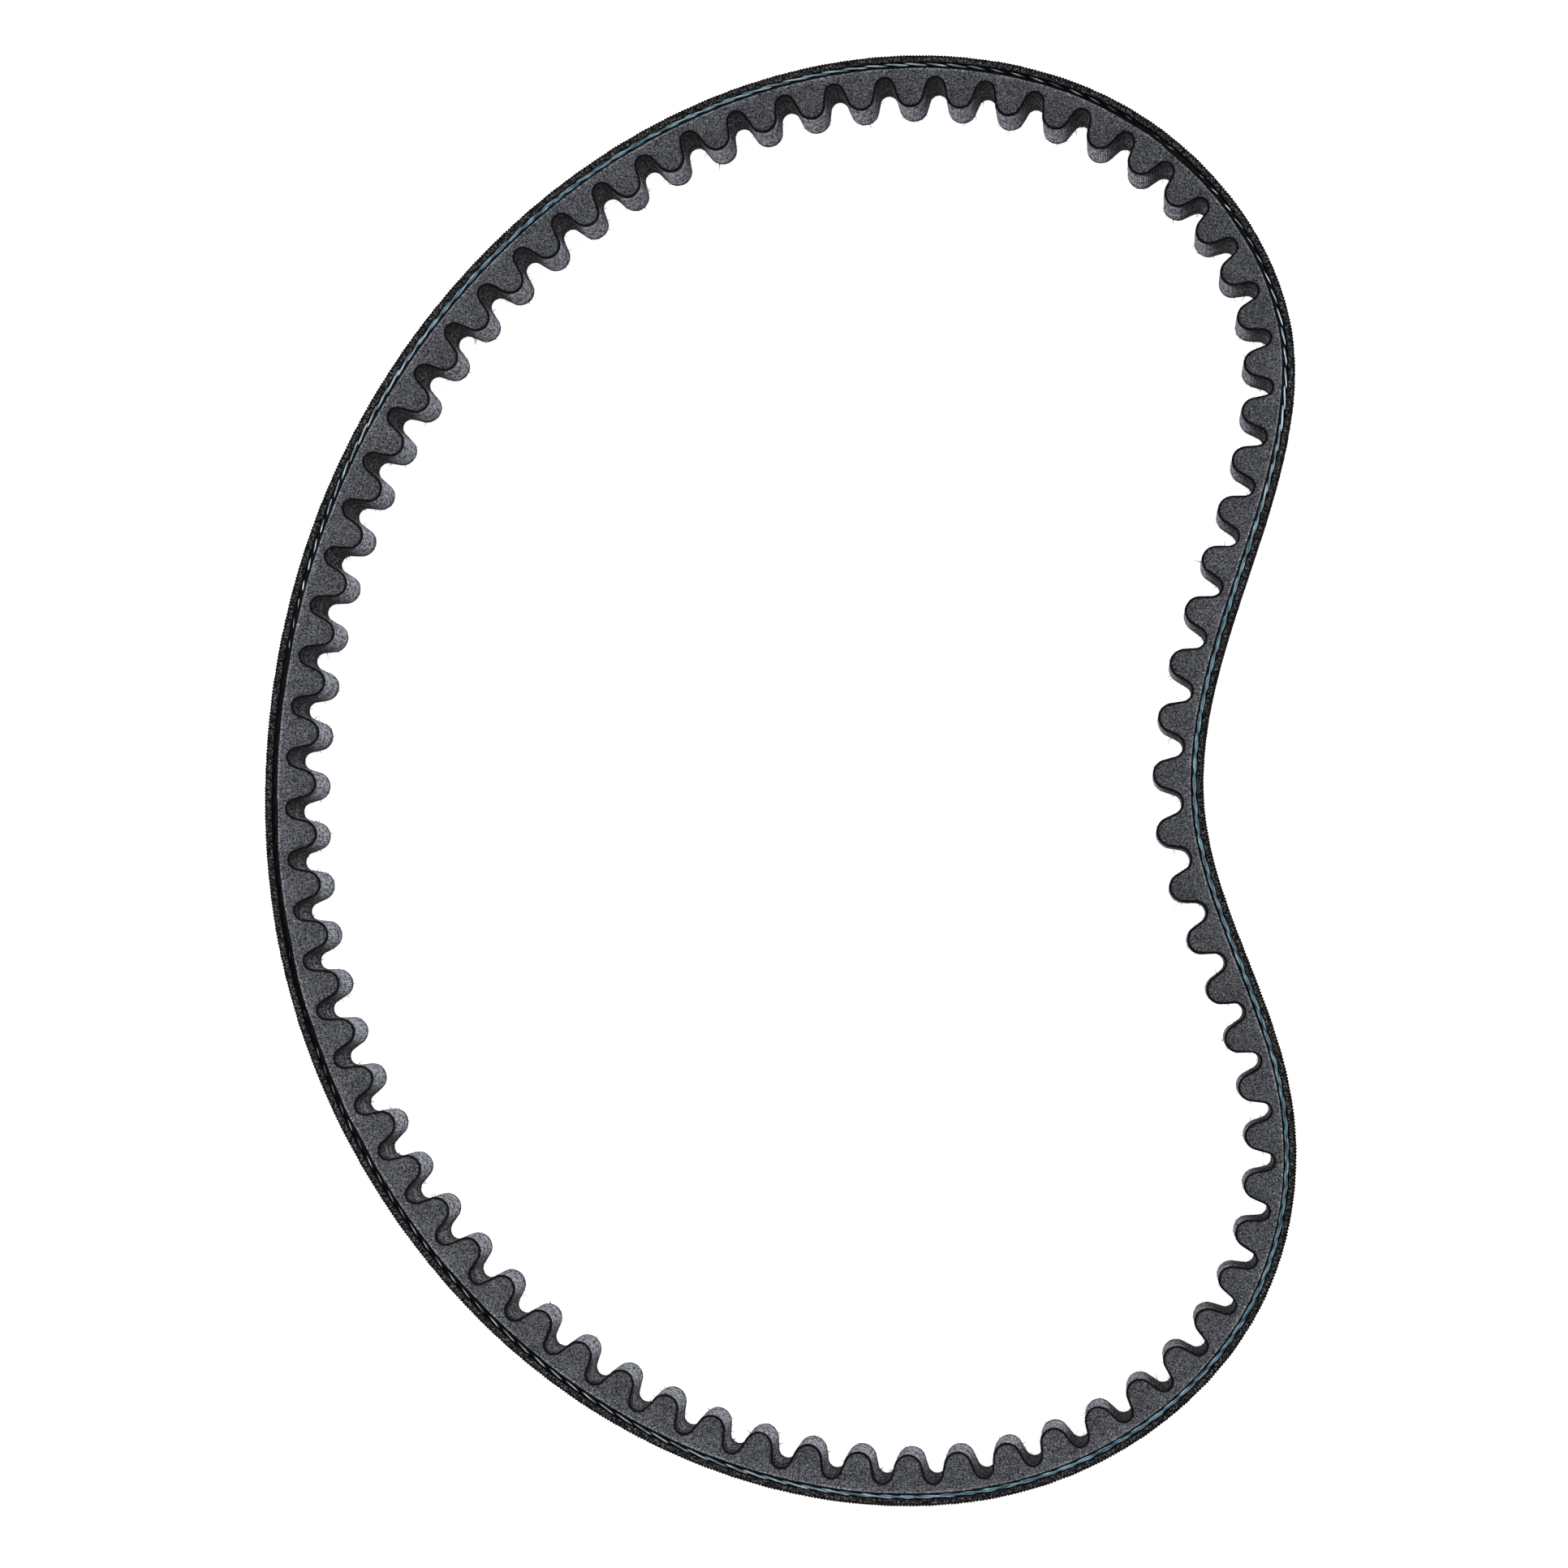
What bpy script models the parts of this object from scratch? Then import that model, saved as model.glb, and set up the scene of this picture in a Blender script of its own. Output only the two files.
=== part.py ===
"""Raw-edge cogged variable-speed V-belt, 743 mm long, 20 mm wide, for a 30 degree groove.

The endless belt lies on one flank, bent into a free bean-shaped loop. Its width runs along +Z.
Seven bonded layers follow one another from the back of the belt to the tips of its cogs. Every
layer is placed by its depth below the back and by its station along the cord line.
"""
import math

import bmesh
import bpy
import numpy as np

MM = 0.001

# The belt as it is sold
BACK_LENGTH = 743 * MM
TOP_WIDTH = 20 * MM
GROOVE_ANGLE = math.radians(30)
COG_COUNT = 76

# Depths of the layers, measured from the back towards the cogs
BOND = 0.06 * MM
COVER_THICKNESS = 0.30 * MM
TENSION_THICKNESS = 0.50 * MM
UPPER_CUSHION_THICKNESS = 0.22 * MM
CORD_DIAMETER = 0.90 * MM
LOWER_CUSHION_THICKNESS = 0.35 * MM
FABRIC_THICKNESS = 0.25 * MM
TENSION_DEPTH = COVER_THICKNESS + BOND
UPPER_CUSHION_DEPTH = TENSION_DEPTH + TENSION_THICKNESS + BOND
CORD_DEPTH = UPPER_CUSHION_DEPTH + UPPER_CUSHION_THICKNESS + BOND + CORD_DIAMETER / 2
LOWER_CUSHION_DEPTH = CORD_DEPTH + CORD_DIAMETER / 2 + BOND
COMPRESSION_DEPTH = LOWER_CUSHION_DEPTH + LOWER_CUSHION_THICKNESS + BOND

# The flanks are square to the back down to the cord, and slope in from there
SHOULDER_DEPTH = LOWER_CUSHION_DEPTH
FLANK_SLOPE = math.tan(GROOVE_ANGLE / 2)

# A cog is a round tip and a round root joined by their common tangent
TIP_DEPTH = 9.10 * MM
TIP_RADIUS = 2.65 * MM
ROOT_DEPTH = 3.95 * MM
ROOT_RADIUS = 1.75 * MM
ARC_STEPS = 2
BEND_SHARE = 0.5

# The tensile cord, wound side by side across the belt
CORD_TURNS = 10
CORD_EDGE = 0.60 * MM

# Control points of the free loop, in millimetres, anticlockwise from the top
LOOP_CONTROL = (
    (24.5, 135.5), (-21.5, 123.5), (-59, 94.5), (-84.5, 55), (-95.5, 9.5), (-92.5, -37.5),
    (-72.5, -80.5), (-40, -114), (3.5, -133), (51.5, -132), (91, -101.5), (98, -54), (71, -8.5),
    (85, 35.5), (101, 81.5), (71, 124),
)
SPAN_STEPS = 180
COG_PHASE = -0.455


def bspline(control, steps):
    """Points and tangents along a closed uniform cubic B-spline."""
    t = np.arange(steps)[:, None] / steps
    weights = ((1 - t) ** 3, 3 * t**3 - 6 * t**2 + 4, -3 * t**3 + 3 * t**2 + 3 * t + 1, t**3)
    slopes = (-3 * (1 - t) ** 2, 9 * t**2 - 12 * t, -9 * t**2 + 6 * t + 3, 3 * t**2)
    corners = [np.roll(control, 1 - k, axis=0) for k in range(4)]
    points = sum(w[None] * c[:, None] for w, c in zip(weights, corners)) / 6
    tangents = sum(w[None] * c[:, None] for w, c in zip(slopes, corners)) / 6
    return points.reshape(-1, 2), tangents.reshape(-1, 2)


def running_length(points):
    """Distance run at every point of a closed polyline, and its full length at the end."""
    steps = np.linalg.norm(np.roll(points, -1, axis=0) - points, axis=1)
    return np.concatenate([[0.0], np.cumsum(steps)])


class Loop:
    """The back line of the belt, with stations counted in cog pitches along the cord line."""

    def __init__(self):
        points, tangents = bspline(np.array(LOOP_CONTROL, float), SPAN_STEPS)
        self.back = points * BACK_LENGTH / running_length(points)[-1]
        tangents /= np.linalg.norm(tangents, axis=1)[:, None]
        self.inward = np.stack([-tangents[:, 1], tangents[:, 0]], axis=1)
        heading = np.unwrap(np.arctan2(tangents[:, 1], tangents[:, 0]))
        turned = np.append(heading, heading[0] + 2 * math.pi)
        self.curvature = np.diff(turned) / np.diff(running_length(self.back))
        cord_run = running_length(self.back + self.inward * CORD_DEPTH)
        self.pitch = cord_run[-1] / COG_COUNT
        self.stations = cord_run / self.pitch
        corners = self.at(np.arange(COG_COUNT), 0.0)
        self.back -= (corners.min(axis=0) + corners.max(axis=0)) / 2

    def read(self, values, station):
        """One of the loop's values at stations that may run past the closing point."""
        wrapped = (np.asarray(station) + COG_PHASE) % COG_COUNT
        closed = np.concatenate([values, values[:1]])
        if values.ndim == 1:
            return np.interp(wrapped, self.stations, closed)
        columns = [np.interp(wrapped, self.stations, column) for column in closed.T]
        return np.stack(columns, axis=-1)

    def at(self, station, depth):
        """Plan positions at the given stations and depth below the back."""
        depth = np.asarray(depth)[..., None]
        return self.read(self.back, station) + self.read(self.inward, station) * depth


LOOP = Loop()


def cog_profile(inset):
    """Half a cog from tip to root centre, as distance along the belt and depth."""
    tip_radius = TIP_RADIUS - inset
    root_radius = ROOT_RADIUS + inset
    tip_centre = np.array([0.0, TIP_DEPTH - TIP_RADIUS])
    root_centre = np.array([LOOP.pitch / 2, ROOT_DEPTH + ROOT_RADIUS])
    across = root_centre - tip_centre
    spread = math.acos((TIP_RADIUS + ROOT_RADIUS) / np.linalg.norm(across))
    draft = math.atan2(across[1], across[0]) + spread
    tip_angles = np.linspace(math.pi / 2, draft, ARC_STEPS + 1)
    root_angles = np.linspace(math.pi + draft, 1.5 * math.pi, ARC_STEPS + 1)
    tip = tip_centre + tip_radius * np.stack([np.cos(tip_angles), np.sin(tip_angles)], axis=1)
    root = root_centre + root_radius * np.stack([np.cos(root_angles), np.sin(root_angles)], axis=1)
    return np.concatenate([tip, root])


def cog_outline(inset):
    """Stations and depths of every cog in turn, starting at a root centre.

    A bend closes or opens the gap between two cogs more than it squeezes the cogs themselves.
    """
    half = cog_profile(inset)
    side = half[ARC_STEPS + 1, 0]
    left = half[:0:-1] * [-1, 1]
    whole = np.concatenate([left, half[:-1]])
    along, depth = whole[:, 0], whole[:, 1]
    reach = np.clip((LOOP.pitch / 2 - abs(along)) / (LOOP.pitch / 2 - side), 0, 1)
    stations = []
    for cog in range(COG_COUNT):
        squeeze = BEND_SHARE * LOOP.read(LOOP.curvature, cog + 0.5) * depth * reach
        stations.append(cog + 0.5 + along * (1 + squeeze) / LOOP.pitch)
    return np.concatenate(stations), np.tile(depth, COG_COUNT)


def smooth_outline(depth):
    """Stations and depths of a line without cogs, with one point over each root centre."""
    return np.arange(COG_COUNT), np.full(COG_COUNT, depth)


def flank_height(depth):
    """How far the flank stands above the middle plane of the belt."""
    return TOP_WIDTH / 2 - FLANK_SLOPE * np.maximum(depth - SHOULDER_DEPTH, 0)


def rubber(name, colour, roughness):
    """A non-metallic material."""
    material = bpy.data.materials.new(name)
    material.use_nodes = True
    shader = material.node_tree.nodes["Principled BSDF"]
    shader.inputs["Base Color"].default_value = (*colour, 1)
    shader.inputs["Roughness"].default_value = roughness
    shader.inputs["Metallic"].default_value = 0
    return material


def add_object(name, data, collection, material):
    """Put a named piece with its material in the belt's collection."""
    piece = bpy.data.objects.new(name, data)
    data.materials.append(material)
    collection.objects.link(piece)
    return piece


def square_layer(name, depth, thickness, collection, material):
    """A layer whose flanks are square to the back: a flat ring as thick as the belt is wide."""
    ring = bpy.data.curves.new(name, "CURVE")
    ring.dimensions = "2D"
    ring.fill_mode = "BOTH"
    ring.extrude = TOP_WIDTH / 2
    for edge in (depth, depth + thickness):
        plan = LOOP.at(*smooth_outline(edge))
        spline = ring.splines.new("POLY")
        spline.points.add(len(plan) - 1)
        for point, (x, y) in zip(spline.points, plan):
            point.co = (x, y, 0, 1)
        spline.use_cyclic_u = True
    layer = add_object(name, ring, collection, material)
    layer.location.z = TOP_WIDTH / 2
    return layer


def outline_rows(bm, outline):
    """The upper and lower vertices of an outline, on the two flanks."""
    station, depth = outline
    height = flank_height(depth)
    rows = []
    for side in (1, -1):
        levels = TOP_WIDTH / 2 + side * height
        rows.append([bm.verts.new((x, y, z)) for (x, y), z in zip(LOOP.at(station, depth), levels)])
    return rows


def run(row, first, count):
    """Part of a closed row, both ends included."""
    return [row[(first + k) % len(row)] for k in range(count + 1)]


def tapered_layer(name, outer, inner, collection, material):
    """A layer between two outlines whose flanks slope to the groove angle."""
    bm = bmesh.new()
    outer_rows = outline_rows(bm, outer)
    inner_rows = outline_rows(bm, inner)
    for upper, lower in (outer_rows, inner_rows):
        for j in range(len(upper)):
            bm.faces.new(run(lower, j, 1) + run(upper, j, 1)[::-1])
    cells = len(outer[0]) if len(outer[0]) == len(inner[0]) else COG_COUNT
    for outer_row, inner_row in zip(outer_rows, inner_rows):
        a, b = len(outer_row) // cells, len(inner_row) // cells
        for j in range(cells):
            bm.faces.new(run(outer_row, j * a, a) + run(inner_row, j * b, b)[::-1])
    bmesh.ops.recalc_face_normals(bm, faces=bm.faces)
    mesh = bpy.data.meshes.new(name)
    bm.to_mesh(mesh)
    bm.free()
    return add_object(name, mesh, collection, material)


def wound_cord(name, collection, material):
    """One continuous cord, wound from flank to flank with its turns side by side."""
    wire = bpy.data.curves.new(name, "CURVE")
    wire.dimensions = "3D"
    wire.twist_mode = "Z_UP"
    wire.bevel_depth = CORD_DIAMETER / 2
    wire.bevel_resolution = 0
    wire.use_fill_caps = True
    count = CORD_TURNS * COG_COUNT
    plan = LOOP.at(np.arange(count + 1), np.full(count + 1, CORD_DEPTH))
    levels = np.linspace(CORD_EDGE, TOP_WIDTH - CORD_EDGE, count + 1)
    spline = wire.splines.new("POLY")
    spline.points.add(count)
    for point, (x, y), z in zip(spline.points, plan, levels):
        point.co = (x, y, z, 1)
    return add_object(name, wire, collection, material)


def build_belt():
    """Every layer of the belt, from the back to the cogs."""
    belt = bpy.data.collections.new("cogged_v_belt")
    bpy.context.scene.collection.children.link(belt)
    square_layer("back_cover", 0.0, COVER_THICKNESS, belt,
                 rubber("back_cover_rubber", (0.030, 0.026, 0.025), 0.85))
    square_layer("tension_rubber", TENSION_DEPTH, TENSION_THICKNESS, belt,
                 rubber("tension_rubber", (0.040, 0.033, 0.031), 0.80))
    square_layer("upper_cushion", UPPER_CUSHION_DEPTH, UPPER_CUSHION_THICKNESS, belt,
                 rubber("upper_cushion_rubber", (0.030, 0.026, 0.025), 0.80))
    wound_cord("tensile_cord", belt, rubber("aramid_cord", (0.10, 0.22, 0.28), 0.50))
    lower_cushion_base = LOWER_CUSHION_DEPTH + LOWER_CUSHION_THICKNESS
    tapered_layer("lower_cushion", smooth_outline(LOWER_CUSHION_DEPTH),
                  smooth_outline(lower_cushion_base), belt,
                  rubber("lower_cushion_rubber", (0.085, 0.087, 0.093), 0.75))
    tapered_layer("compression_rubber", smooth_outline(COMPRESSION_DEPTH),
                  cog_outline(FABRIC_THICKNESS + BOND), belt,
                  rubber("fibre_loaded_rubber", (0.070, 0.072, 0.078), 0.75))
    tapered_layer("tooth_fabric", cog_outline(FABRIC_THICKNESS), cog_outline(0.0), belt,
                  rubber("facing_fabric", (0.16, 0.165, 0.18), 0.80))


for old in list(bpy.data.objects):
    bpy.data.objects.remove(old)
build_belt()
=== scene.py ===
"""Looks of a raw-edge cogged variable-speed V-belt that lies on one flank in a free loop.

Every layer of the belt is a ring: a closed cross section carried round the loop. The loop itself is read
from the CAD back cover, so each ring lies on its CAD layer. Places on the belt are given by station, in cog
pitches round the loop from its left side, by depth below the back, and by level above the middle plane.
"""
import math

import bpy
import numpy as np
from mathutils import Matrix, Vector


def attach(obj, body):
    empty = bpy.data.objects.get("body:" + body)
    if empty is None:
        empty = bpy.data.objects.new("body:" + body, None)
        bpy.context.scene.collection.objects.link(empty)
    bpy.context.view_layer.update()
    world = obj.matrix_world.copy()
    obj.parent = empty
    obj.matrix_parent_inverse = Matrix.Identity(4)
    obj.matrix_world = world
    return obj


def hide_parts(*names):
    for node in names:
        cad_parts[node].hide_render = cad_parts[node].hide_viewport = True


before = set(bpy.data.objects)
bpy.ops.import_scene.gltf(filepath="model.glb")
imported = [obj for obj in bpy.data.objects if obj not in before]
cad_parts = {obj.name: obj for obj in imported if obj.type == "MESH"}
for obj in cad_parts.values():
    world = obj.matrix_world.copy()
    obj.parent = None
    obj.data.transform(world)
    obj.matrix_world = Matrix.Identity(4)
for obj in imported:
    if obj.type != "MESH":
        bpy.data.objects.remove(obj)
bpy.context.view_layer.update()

MM = 0.001

# The belt, as its CAD layers are laid out
BACK_NODE = "back_cover"
COVER_DEPTH = 0.30 * MM
TENSION_DEPTH = 0.86 * MM
GROOVE_DEPTH = 1.14 * MM
CORD_DEPTH = 1.65 * MM
CORD_RADIUS = 0.365 * MM
SHOULDER_DEPTH = 2.16 * MM
BODY_DEPTH = 2.54 * MM
FABRIC_THICKNESS = 0.25 * MM
FLANK_SLOPE = math.tan(math.radians(15))

# A cog is a round tip and a round root joined by their common tangent
TIP_DEPTH = 9.10 * MM
TIP_RADIUS = 2.65 * MM
ROOT_DEPTH = 3.95 * MM
ROOT_RADIUS = 1.75 * MM
BEND_SHARE = 0.5

# The cord: two strands wound side by side, so that each turn climbs by two spacings. The flanks cut through
# the strands where these climb past them. Climbs are in spacings above the upper cut, by station.
STRANDS = 2
STRAND_SPACING = 0.93 * MM
CLIMB = ((0, -0.49), (4.2, -0.402), (5.5, -0.386), (9.5, -0.361), (13, -0.325), (15, -0.285), (17, -0.23),
         (19, -0.17), (21, -0.107), (31, 0), (41.5, 0.107), (44, 0.213), (45.5, 0.285), (47, 0.334),
         (49, 0.365), (50.6, 0.392), (51.2, 0.61), (52.3, 0.629), (53.6, 0.648), (55.3, 0.715),
         (58, 0.804), (61, 0.893), (63, 1), (65, 1.107), (67.5, 1.205), (69.5, 1.285), (71.5, 1.343),
         (73.2, 1.387), (76, 1.51))
CUT_DEPTH = 0.05 * MM
STRAND_SHIFT = -0.07 * MM

# The groove that a flank has along the cord: its inner edge, by depth, and its floor, below the flank
GROOVE_EDGE = 2.26 * MM
GROOVE_FLOOR = 0.25 * MM

# A strand is three round plies, twisted one turn in a lay length. Dip fills the crevices between them.
PLIES = 3
PLY_POINTS = 10
LAY_LENGTH = 11.1 * MM
CREVICE_SHARE = 0.62
PLY_RADIUS = CORD_RADIUS / (1 + 2 / math.sqrt(3))
PLY_OFFSET = CORD_RADIUS - PLY_RADIUS

# Added to the seed that each ripple and each set of random draws has of its own
SEED = 7

# Black: the fabric's cut edges and rubber spread by the knife, and painted shade below the flank edges, in
# the groove and at the back's outer rim; and the dip on the cord
BLACK = (0.0012, 0.0012, 0.0016)
DIP = (0.0012, 0.0012, 0.0018)


def smooth(t):
    """Ease from 0 to 1."""
    t = np.clip(t, 0, 1)
    return t * t * (3 - 2 * t)


def ripple(seed, share, cells, level=0.0, rows=0):
    """Smooth random values from -1 to 1: cells of them round the loop, and rows from level 0 to 1."""
    grid = np.random.default_rng(SEED + seed).uniform(-1, 1, (cells, rows + 1))
    along = (np.asarray(share) % 1) * cells
    across = np.clip(level, 0, 1) * rows
    column = np.floor(along).astype(int)
    row = np.clip(np.floor(across).astype(int), 0, max(rows - 1, 0))
    next_row = np.minimum(row + 1, rows)
    right, up = smooth(along - column), smooth(across - row)
    column, next_column = column % cells, (column + 1) % cells
    low = grid[column, row] * (1 - right) + grid[next_column, row] * right
    high = grid[column, next_row] * (1 - right) + grid[next_column, next_row] * right
    return low * (1 - up) + high * up


class Loop:
    """The back line of the belt, as a closed cubic spline through the CAD's points over the cog roots."""

    SAME = 1e-6

    def __init__(self):
        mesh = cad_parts[BACK_NODE].data
        points = np.array([v.co for v in mesh.vertices])
        self.low, self.high = points[:, 2].min(), points[:, 2].max()
        rim = points[points[:, 2] > self.high - self.SAME, :2]
        rim = np.unique((rim / self.SAME).round(), axis=0) * self.SAME
        rim = rim[np.argsort(np.arctan2(rim[:, 1], rim[:, 0]))].reshape(-1, 2, 2)
        outside = np.linalg.norm(rim, axis=2).argmax(axis=1)
        through = rim[np.arange(len(rim)), outside]
        self.count = len(through)
        weights = np.zeros(self.count)
        weights[[-1, 0, 1]] = (1 / 6, 4 / 6, 1 / 6)
        matrix = np.stack([np.roll(weights, k) for k in range(self.count)])
        self.control = np.linalg.solve(matrix, through)
        line = self.at(np.arange(0, self.count, 0.1), CORD_DEPTH)
        self.length = np.linalg.norm(np.roll(line, -1, axis=0) - line, axis=1).sum()
        self.pitch = self.length / self.count
        self.middle = (self.low + self.high) / 2
        self.half_width = (self.high - self.low) / 2

    def spline(self, station):
        """Point, first and second derivative of the back line."""
        station = np.asarray(station, float)
        span = np.floor(station).astype(int)
        t = (station - span)[..., None]
        weights = ((1 - t) ** 3, 3 * t**3 - 6 * t**2 + 4, -3 * t**3 + 3 * t**2 + 3 * t + 1, t**3)
        slopes = (-3 * (1 - t) ** 2, 9 * t**2 - 12 * t, -9 * t**2 + 6 * t + 3, 3 * t**2)
        bends = (6 * (1 - t), 18 * t - 12, -18 * t + 6, 6 * t)
        corners = [self.control[(span + k - 1) % self.count] for k in range(4)]
        return [sum(w * c for w, c in zip(row, corners)) / 6 for row in (weights, slopes, bends)]

    def at(self, station, depth):
        """Plan positions at stations and depths."""
        point, slope, _ = self.spline(station)
        slope = slope / np.linalg.norm(slope, axis=-1, keepdims=True)
        inward = np.stack([-slope[..., 1], slope[..., 0]], axis=-1)
        return point + inward * np.broadcast_to(depth, point.shape[:-1])[..., None]

    def curvature(self, station):
        """How sharply the back line turns to the left."""
        _, slope, bend = self.spline(station)
        turn = slope[..., 0] * bend[..., 1] - slope[..., 1] * bend[..., 0]
        return turn / np.linalg.norm(slope, axis=-1) ** 3

    def half_height(self, depth):
        """How far the flank stands above the middle plane."""
        return self.half_width - FLANK_SLOPE * np.maximum(depth - SHOULDER_DEPTH, 0)


LOOP = Loop()


def cog_outline(inset, tip_steps, side_steps, root_steps):
    """Stations and depths round every cog, from root centre to root centre.

    A bend closes or opens the gap between two cogs more than it squeezes the cogs themselves.
    """
    tip_centre = np.array([0.0, TIP_DEPTH - TIP_RADIUS])
    root_centre = np.array([LOOP.pitch / 2, ROOT_DEPTH + ROOT_RADIUS])
    across = root_centre - tip_centre
    spread = math.acos((TIP_RADIUS + ROOT_RADIUS) / np.linalg.norm(across))
    draft = math.atan2(across[1], across[0]) + spread
    tip_angle = np.linspace(math.pi / 2, draft, tip_steps + 1)
    root_angle = np.linspace(math.pi + draft, 1.5 * math.pi, root_steps + 1)
    tip = tip_centre + (TIP_RADIUS - inset) * np.stack([np.cos(tip_angle), np.sin(tip_angle)], axis=1)
    root = root_centre + (ROOT_RADIUS + inset) * np.stack([np.cos(root_angle), np.sin(root_angle)], axis=1)
    share = np.linspace(0, 1, side_steps + 1)[1:-1, None]
    half = np.concatenate([tip, tip[-1] * (1 - share) + root[0] * share, root])
    side = tip[-1, 0]
    whole = np.concatenate([half[:0:-1] * [-1, 1], half[:-1]])
    along, depth = whole[:, 0], whole[:, 1]
    reach = np.clip((LOOP.pitch / 2 - abs(along)) / (LOOP.pitch / 2 - side), 0, 1)
    cogs = np.arange(LOOP.count)[:, None] + 0.5
    squeeze = BEND_SHARE * LOOP.curvature(cogs) * depth * reach
    stations = cogs + along * (1 + squeeze) / LOOP.pitch
    return stations.ravel(), np.tile(depth, LOOP.count)


def steps_round(count):
    """Stations at equal steps, with count of them to a pitch."""
    return np.arange(LOOP.count * count) / count


def add_mesh(name, points, quads, caps=()):
    """A mesh object from vertex positions, quads and a few larger faces."""
    mesh = bpy.data.meshes.new(name)
    faces = [quads.ravel(), *[np.array(cap) for cap in caps]]
    sizes = np.concatenate([np.full(len(quads), 4), [len(cap) for cap in caps]]).astype(int)
    corners = np.concatenate(faces)
    mesh.vertices.add(len(points))
    mesh.vertices.foreach_set("co", points.astype(np.float32).ravel())
    mesh.loops.add(len(corners))
    mesh.loops.foreach_set("vertex_index", corners.astype(np.int32))
    mesh.polygons.add(len(sizes))
    mesh.polygons.foreach_set("loop_start", np.concatenate([[0], np.cumsum(sizes)[:-1]]).astype(np.int32))
    mesh.update(calc_edges=True)
    mesh.validate()
    mesh.shade_smooth()
    piece = bpy.data.objects.new(name, mesh)
    bpy.context.scene.collection.objects.link(piece)
    return piece


def add_attribute(piece, name, values):
    """Values at the mesh's vertices, or at its face corners, for the material to read."""
    mesh = piece.data
    kind = "FLOAT_VECTOR" if values.ndim == 2 else "FLOAT"
    domain = "POINT" if len(values) == len(mesh.vertices) else "CORNER"
    attribute = mesh.attributes.new(name, kind, domain)
    attribute.data.foreach_set("vector" if values.ndim == 2 else "value", values.astype(np.float32).ravel())


def finish_piece(piece, material, node, sharp=35):
    """Give a piece its material, and let it stand for its CAD node."""
    piece.data.materials.append(material)
    piece.data.set_sharp_from_angle(angle=math.radians(sharp))
    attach(piece, "root")
    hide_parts(node)


def ring(name, stations, depths, levels, run=None):
    """A closed section carried round the loop: rows follow the loop, columns go round the section.

    The attribute belt holds each place's run along the surface, depth and level, in millimetres.
    """
    rows, columns = depths.shape
    stations = np.broadcast_to(stations, depths.shape)
    plan = LOOP.at(stations, depths)
    points = np.concatenate([plan, (LOOP.middle + levels)[..., None]], axis=-1)
    j, k = np.meshgrid(np.arange(rows), np.arange(columns), indexing="ij")
    corners = [(j, k), (j + 1, k), (j + 1, k + 1), (j, k + 1)]
    quads = np.stack([(a % rows) * columns + b % columns for a, b in corners], axis=-1).reshape(-1, 4)
    piece = add_mesh(name, points.reshape(-1, 3), quads)
    run = stations * LOOP.pitch if run is None else np.broadcast_to(run[:, None], depths.shape)
    around = run[-1] + run[-1] - run[-2]
    run = np.concatenate([run, around[None]])
    place = [np.stack([run[a, b], depths[a % rows, b], levels[a % rows, b]], axis=-1)
             for a, b in ((a, b % columns) for a, b in corners)]
    add_attribute(piece, "belt", np.stack(place, axis=2).reshape(-1, 3) / MM)
    return piece


def section(shares, walls):
    """Shares of the depth and signs of the level round a closed section.

    It crosses the upper flank from the back to the cogs, goes down the inner wall, crosses the lower flank
    back and comes up the outer wall. Walls are the numbers of steps down and up.
    """
    shares = np.asarray(shares, float)
    down = np.linspace(1, -1, walls[0] + 1)[1:-1]
    up = np.linspace(-1, 1, walls[1] + 1)[1:-1]
    share = np.concatenate([shares, np.ones(len(down)), shares[::-1], np.zeros(len(up))])
    level = np.concatenate([np.ones(len(shares)), down, -np.ones(len(shares)), up])
    return share, level


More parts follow.
